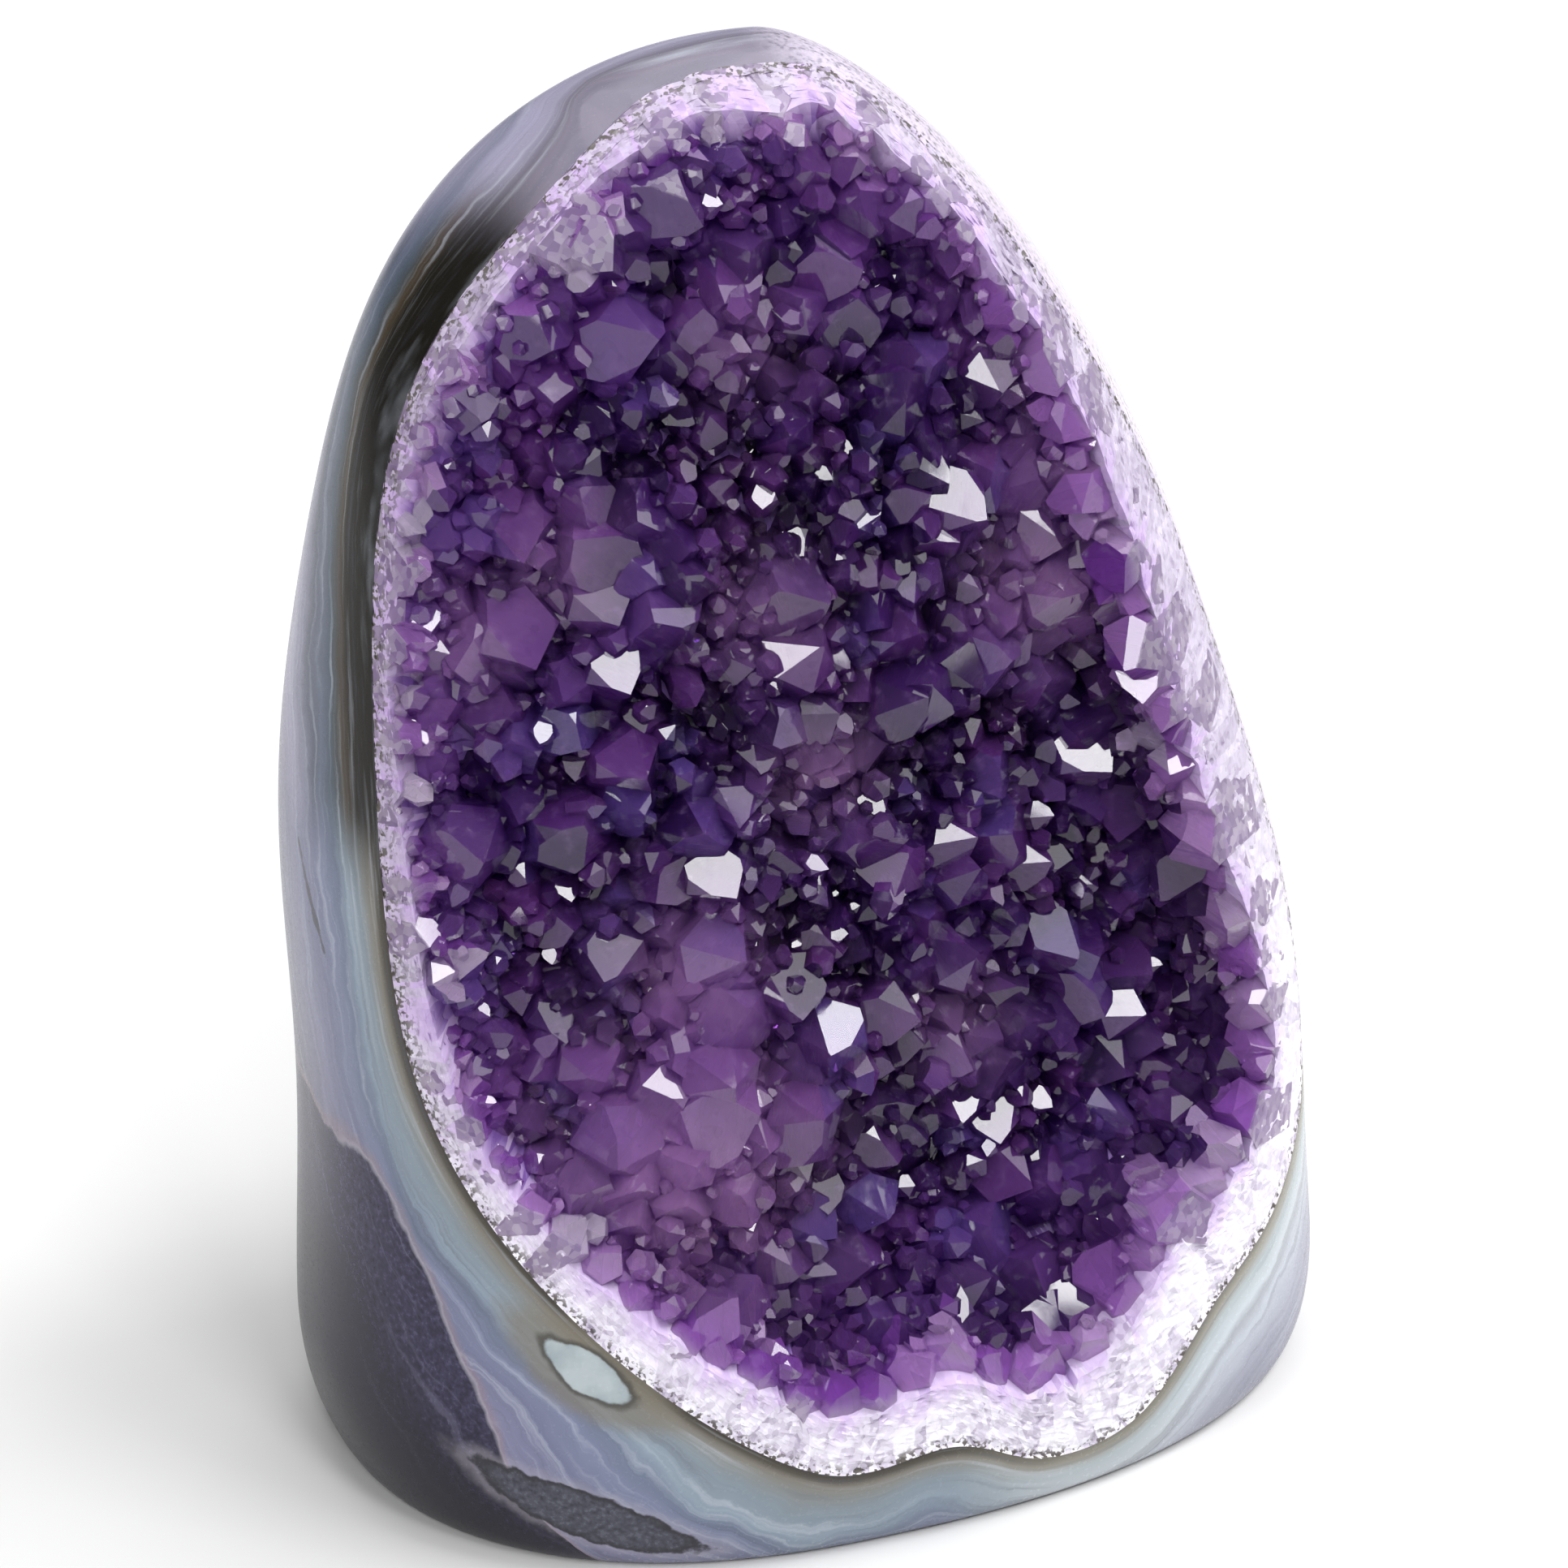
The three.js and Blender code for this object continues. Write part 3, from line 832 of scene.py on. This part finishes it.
def points_tree():
    """Spreads crystals over a surface and along a rim, fills the gaps with small ones, and joins them."""
    tree = bpy.data.node_groups.new("amethyst points", "GeometryNodeTree")
    sockets = {}
    for name, kind in (
        ("Ground", "Geometry"), ("Forms", "Collection"), ("Rim", "Object"), ("Lining", "Object"),
        ("Spacing", "Float"), ("Smallest", "Float"), ("Largest", "Float"), ("Lean", "Float"),
        ("Gap Spacing", "Float"), ("Gap Height", "Float"), ("Gap Smallest", "Float"),
        ("Gap Largest", "Float"), ("Seed", "Int"), ("Finish", "Material"),
    ):
        made = tree.interface.new_socket(name, in_out="INPUT", socket_type="NodeSocket" + kind)
        sockets[name] = made.identifier
    tree.interface.new_socket("Points", in_out="OUTPUT", socket_type="NodeSocketGeometry")
    given = add(tree, "NodeGroupInput").outputs
    forms = add(tree, "GeometryNodeCollectionInfo",
                {"Collection": given["Forms"], "Separate Children": True, "Reset Children": True})

    def grown(points, rotation, scale):
        """A crystal on each point."""
        return add(tree, "GeometryNodeInstanceOnPoints",
                   {"Points": points, "Instance": forms.outputs[0], "Pick Instance": True,
                    "Rotation": rotation, "Scale": scale}).outputs[0]

    def leaning(rotation):
        """A rotation leaned to one side and spun about the crystal's length."""
        back = math_node(tree, "MULTIPLY", given["Lean"], -1.0)
        lean = add(tree, "FunctionNodeRandomValue",
                   {"Min": together(tree, back, back, 0.0),
                    "Max": together(tree, given["Lean"], given["Lean"], 2 * math.pi), "Seed": given["Seed"]},
                   data_type="FLOAT_VECTOR")
        return add(tree, "FunctionNodeRotateRotation",
                   {"Rotation": rotation, "Rotate By": output(lean, "Value")},
                   rotation_space="LOCAL").outputs[0]

    def between(low, high, power):
        """A random size from low to high, mostly small."""
        chance = math_node(tree, "POWER", random_number(tree, given["Seed"]), power)
        return math_node(tree, "MULTIPLY_ADD", chance, math_node(tree, "SUBTRACT", high, low), low)

    def joined(*parts):
        """Solids grown into one."""
        node = add(tree, "GeometryNodeMeshBoolean", operation="UNION", solver="MANIFOLD")
        for part in parts:
            tree.links.new(part, node.inputs["Mesh 2"])
        return node.outputs[0]

    spread = add(tree, "GeometryNodeDistributePointsOnFaces",
                 {"Mesh": given["Ground"], "Distance Min": given["Spacing"], "Density Max": 4e5,
                  "Seed": given["Seed"]}, distribute_method="POISSON")
    scale = times(tree, between(given["Smallest"], given["Largest"], 2.2), field(tree, "size", "FLOAT"))
    main = grown(spread.outputs["Points"], leaning(spread.outputs["Rotation"]), scale)

    rim = add(tree, "GeometryNodeObjectInfo", {"Object": given["Rim"]}).outputs["Geometry"]
    inward = add(tree, "FunctionNodeAlignRotationToVector",
                 {"Vector": field(tree, "inward", "FLOAT_VECTOR")}, axis="Z").outputs[0]
    spin = together(tree, 0.0, 0.0, random_number(tree, given["Seed"], 0.0, 2 * math.pi))
    spun = add(tree, "FunctionNodeRotateRotation", {"Rotation": inward, "Rotate By": spin},
               rotation_space="LOCAL").outputs[0]
    first = joined(main, grown(rim, spun, field(tree, "size", "FLOAT")))

    height = add(tree, "GeometryNodeProximity", {"Geometry": given["Ground"]}, target_element="FACES")
    low = add(tree, "FunctionNodeCompare", {"A": height.outputs["Distance"], "B": given["Gap Height"]},
              data_type="FLOAT", operation="LESS_THAN")
    gaps = add(tree, "GeometryNodeDistributePointsOnFaces",
               {"Mesh": first, "Selection": low.outputs[0], "Distance Min": given["Gap Spacing"],
                "Density Max": 2e6, "Seed": given["Seed"]}, distribute_method="POISSON")
    forward = add(tree, "ShaderNodeVectorMath", operation="ADD")
    tree.links.new(gaps.outputs["Normal"], forward.inputs[0])
    forward.inputs[1].default_value = (0, -1.4, 0.3)
    outward = add(tree, "FunctionNodeAlignRotationToVector", {"Vector": forward.outputs[0]},
                  axis="Z").outputs[0]
    small = grown(gaps.outputs["Points"], leaning(outward),
                  between(given["Gap Smallest"], given["Gap Largest"], 1.5))
    second = joined(first, small)

    lining = add(tree, "GeometryNodeObjectInfo", {"Object": given["Lining"]})
    trimmed = add(tree, "GeometryNodeMeshBoolean", operation="INTERSECT", solver="MANIFOLD")
    tree.links.new(second, trimmed.inputs["Mesh 2"])
    tree.links.new(lining.outputs["Geometry"], trimmed.inputs["Mesh 2"])
    tips = add(tree, "GeometryNodeJoinGeometry")
    rim_points = add(tree, "GeometryNodeMeshToPoints", {"Mesh": rim}).outputs[0]
    for root, way, length in (
        (spread.outputs["Points"], spread.outputs["Normal"], scale),
        (rim_points, field(tree, "inward", "FLOAT_VECTOR"), field(tree, "size", "FLOAT")),
    ):
        reach_out = add(tree, "ShaderNodeVectorMath", {"Vector": way, "Scale": length}, operation="SCALE")
        moved = add(tree, "GeometryNodeSetPosition", {"Geometry": root, "Offset": reach_out.outputs[0]})
        tree.links.new(moved.outputs[0], tips.inputs[0])
    nearest = add(tree, "GeometryNodeSampleNearest", {"Geometry": tips.outputs[0]})
    toned = add(tree, "GeometryNodeStoreNamedAttribute",
                {"Geometry": trimmed.outputs[0], "Name": "tone",
                 "Value": random_number(tree, given["Seed"], ID=nearest.outputs[0])},
                data_type="FLOAT", domain="FACE")
    mark = add(tree, "GeometryNodeSampleIndex",
               {"Geometry": tips.outputs[0], "Value": field(tree, "edge", "FLOAT"),
                "Index": nearest.outputs[0]},
               data_type="FLOAT", domain="POINT")
    marked = add(tree, "GeometryNodeStoreNamedAttribute",
                 {"Geometry": toned.outputs[0], "Name": "edge", "Value": mark.outputs[0]},
                 data_type="FLOAT", domain="FACE")
    real = add(tree, "GeometryNodeRealizeInstances", {"Geometry": marked.outputs[0]})
    clad = add(tree, "GeometryNodeSetMaterial", {"Geometry": real.outputs[0], "Material": given["Finish"]})
    add(tree, "NodeGroupOutput", {"Points": clad.outputs[0]})
    return tree, sockets


def amethyst_material():
    """Clear violet quartz: painted shade dark low between the points, painted light paler towards the tips, a
    painted shadow just inside the rim, and lilac along the band.
    """
    material, tree = new_material("amethyst")
    places = stone_places(tree)
    inset, tone, sunk = attribute(tree, "inset"), attribute(tree, "tone"), attribute(tree, "sunk")
    height, pale = attribute(tree, "height"), attribute(tree, "pale")
    cloud = noise_value(tree, places, 0.45, 3)
    veil = noise_value(tree, places, 0.9, 4, 0.6)
    violet = colour_steps(tree, tone, [
        (0.0, srgb(54, 28, 84)), (0.35, srgb(84, 44, 122)),
        (0.7, srgb(126, 68, 154)), (1.0, srgb(108, 82, 166)),
    ])
    # Painted shade and painted light: by height above the floor, the points are darkened low down between
    # them and made paler towards their tips
    light_and_shade_height = math_node(tree, "ADD", height, swing(tree, cloud, 1.2))
    colour = mix_colour(tree, step_between(tree, light_and_shade_height, 0.4, 4.2), (*srgb(28, 14, 44), 1), violet)
    colour = paint(tree, colour, times(tree, step_between(tree, light_and_shade_height, 3.4, 6.5), 0.35), 160, 108, 196)
    colour = paint(tree, colour, times(tree, step_between(tree, veil, 0.52, 0.75), 0.3), 180, 136, 208)
    lilac = times(tree, pale, math_node(tree, "MULTIPLY_ADD", cloud, 0.9, 0.5))
    colour = paint(tree, colour, lilac, 214, 158, 226)
    # Painted shadow: the points just inside the rim are darkened where the flush band is thick, as if the rim
    # shaded them
    painted_rim_shadow = times(tree, attribute(tree, "band"), step_between(tree, inset, 10, 4))
    colour = paint(tree, colour, times(tree, painted_rim_shadow, 0.6), 24, 11, 40)
    tooth = colour_steps(tree, tone, [
        (0.0, srgb(140, 70, 182)), (0.35, srgb(190, 124, 220)),
        (0.7, srgb(218, 172, 236)), (1.0, srgb(244, 232, 250)),
    ])
    edge = times(tree, attribute(tree, "edge"), math_node(tree, "MULTIPLY_ADD", cloud, 0.5, 0.7, clamp=True))
    colour = mix_colour(tree, edge, colour, tooth)
    ragged = math_node(tree, "ADD", inset, swing(tree, tone, 0.9))
    colour = paint(tree, colour, times(tree, step_between(tree, ragged, 0.9, -1.6), 0.9), 242, 232, 246)
    flush = step_between(tree, sunk, 0.2, 0.05)
    cut_face = colour_steps(tree, cell_shade(tree, places, 1.7), [
        (0.0, srgb(140, 108, 168)), (0.5, srgb(192, 168, 210)), (1.0, srgb(236, 226, 242)),
    ])
    colour = mix_colour(tree, times(tree, flush, 0.8), colour, cut_face)
    rough = math_node(tree, "MULTIPLY_ADD", step_between(tree, cloud, 0.5, 0.8), 0.12, 0.03)
    rough = math_node(tree, "MULTIPLY_ADD", flush, 0.4, rough)
    ended = finish_material(tree, {
        "Base Color": colour, "Roughness": rough, "IOR": 1.544, "Transmission Weight": 0.72,
    })
    depth = add(tree, "ShaderNodeVolumeAbsorption", {"Color": (0.5, 0.14, 0.72, 1), "Density": 140.0})
    tree.links.new(depth.outputs["Volume"], ended.inputs["Volume"])
    return material


form_random = np.random.default_rng(11)
forms = bpy.data.collections.new("crystal forms")
for number in range(FORM_COUNT):
    forms.objects.link(crystal_form(f"form {number}", form_random))
ground = growing_ground()
rows = rim_rows()
lining = lining_solid()
tree, sockets = points_tree()
growth = ground.modifiers.new("growth", "NODES")
growth.node_group = tree
for name, value in {
    "Forms": forms, "Rim": rows, "Lining": lining, "Spacing": 2.4 * MM, "Smallest": 1.6 * MM,
    "Largest": 3.7 * MM, "Lean": 0.42, "Gap Spacing": 1.5 * MM, "Gap Height": 2.2 * MM,
    "Gap Smallest": 0.5 * MM, "Gap Largest": 1.4 * MM, "Seed": SEED, "Finish": amethyst_material(),
}.items():
    growth[sockets[name]] = value
points = bpy.data.objects.new("amethyst_points", evaluated_mesh(ground))
bpy.context.scene.collection.objects.link(points)
for served in [ground, rows, lining, *forms.objects]:
    remove(served)
bpy.data.collections.remove(forms)
point_places = vertex_places(points.data)
across, above = (point_places[:, 0] - AXIS[0]) / INSIDE, point_places[:, 2]
sunk = (point_places[:, 1] - AXIS[1]) / INSIDE - front(across, above)
point_angle, _, point_inset = hollow_fields(point_places)
store(points.data, "inset", point_inset)
# band: how thick the flush band is here, used only as the mask of the painted rim shadow on the points
store(points.data, "band", band_share(point_angle))
store(points.data, "sunk", sunk / MM)
# height above the floor, which sets the painted shade low between the points and the painted light at their
# tips
store(points.data, "height", (floor_depth(across, above) - sunk) / MM)
store(points.data, "pale", np.max([
    strength * np.exp(-((across / MM - x) ** 2 + (above / MM - z) ** 2) / radius**2)
    for x, z, radius, strength in KNOTS
], 0))
points.data.shade_flat()
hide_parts("crystal_crust")
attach(points, "root")

# The studio: a pale floor, four broad soft lights, and five small bright ones that glint on the crystals.
# The camera stands where the photograph was taken from.
FLOOR_SIZE = 3.0
FLOOR_GREY = (0.72, 0.72, 0.72, 1)
WORLD_LIGHT = 0.12
floor = new_object("floor", [
    (-FLOOR_SIZE, -FLOOR_SIZE, 0), (FLOOR_SIZE, -FLOOR_SIZE, 0),
    (FLOOR_SIZE, FLOOR_SIZE, 0), (-FLOOR_SIZE, FLOOR_SIZE, 0),
], [(0, 1, 2, 3)])
floor_material, floor_tree = new_material("pale floor")
finish_material(floor_tree, {"Base Color": FLOOR_GREY, "Roughness": 0.7})
floor.data.materials.append(floor_material)

world = bpy.data.worlds.new("studio")
bpy.context.scene.world = world
world.use_nodes = True
backdrop = world.node_tree.nodes["Background"]
backdrop.inputs["Color"].default_value = (1, 1, 1, 1)
backdrop.inputs["Strength"].default_value = WORLD_LIGHT


def softbox(name, azimuth, elevation, distance, size, power):
    """A square light that faces the stone from a direction, with azimuth 0 in front of it."""
    light = bpy.data.lights.new(name, "AREA")
    light.shape = "SQUARE"
    light.size = size
    light.energy = power
    lamp = bpy.data.objects.new(name, light)
    turn, rise = math.radians(azimuth), math.radians(elevation)
    middle = Vector((0, 0, HEIGHT / 2))
    way = Vector((math.sin(turn) * math.cos(rise), -math.cos(turn) * math.cos(rise), math.sin(rise)))
    lamp.location = middle + way * distance
    lamp.rotation_euler = way.to_track_quat("Z", "Y").to_euler()
    bpy.context.scene.collection.objects.link(lamp)


for name, azimuth, elevation, size, power in (
    ("key face", 40, 60, 2.0, 40), ("left face", -62, 40, 1.4, 14), ("right face", 90, 26, 2.0, 34),
    ("top face", 165, 70, 2.0, 36),
):
    softbox(name, azimuth, elevation, 3.0, size, power)
for name, azimuth, elevation in (
    ("key core", 50, 67), ("left core", -65, 24), ("right core", 85, 52), ("front core", 10, 52),
    ("brow core", -15, 40),
):
    softbox(name, azimuth, elevation, 2.8, 0.6, 15)

VIEW_AZIMUTH = -20
VIEW_RISE = 25
VIEW_DISTANCE = 334.6 * MM
VIEW_TARGET = Vector(AXIS) + Vector((2.19, 0, 50.65)) * MM
camera = bpy.data.objects.new("camera", bpy.data.cameras.new("camera"))
camera.data.lens = 100
camera.data.sensor_width = 36
camera.data.clip_start = 10 * MM
camera.location = VIEW_TARGET + VIEW_DISTANCE * Vector((
    math.sin(math.radians(VIEW_AZIMUTH)) * math.cos(math.radians(VIEW_RISE)),
    -math.cos(math.radians(VIEW_AZIMUTH)) * math.cos(math.radians(VIEW_RISE)),
    math.sin(math.radians(VIEW_RISE)),
))
camera.rotation_euler = (camera.location - VIEW_TARGET).to_track_quat("Z", "Y").to_euler()
bpy.context.scene.collection.objects.link(camera)
bpy.context.scene.camera = camera
bpy.context.scene.view_settings.view_transform = "Standard"
light_paths = bpy.context.scene.cycles
light_paths.max_bounces = 4
light_paths.transmission_bounces = 3
light_paths.diffuse_bounces = 2
light_paths.glossy_bounces = 2
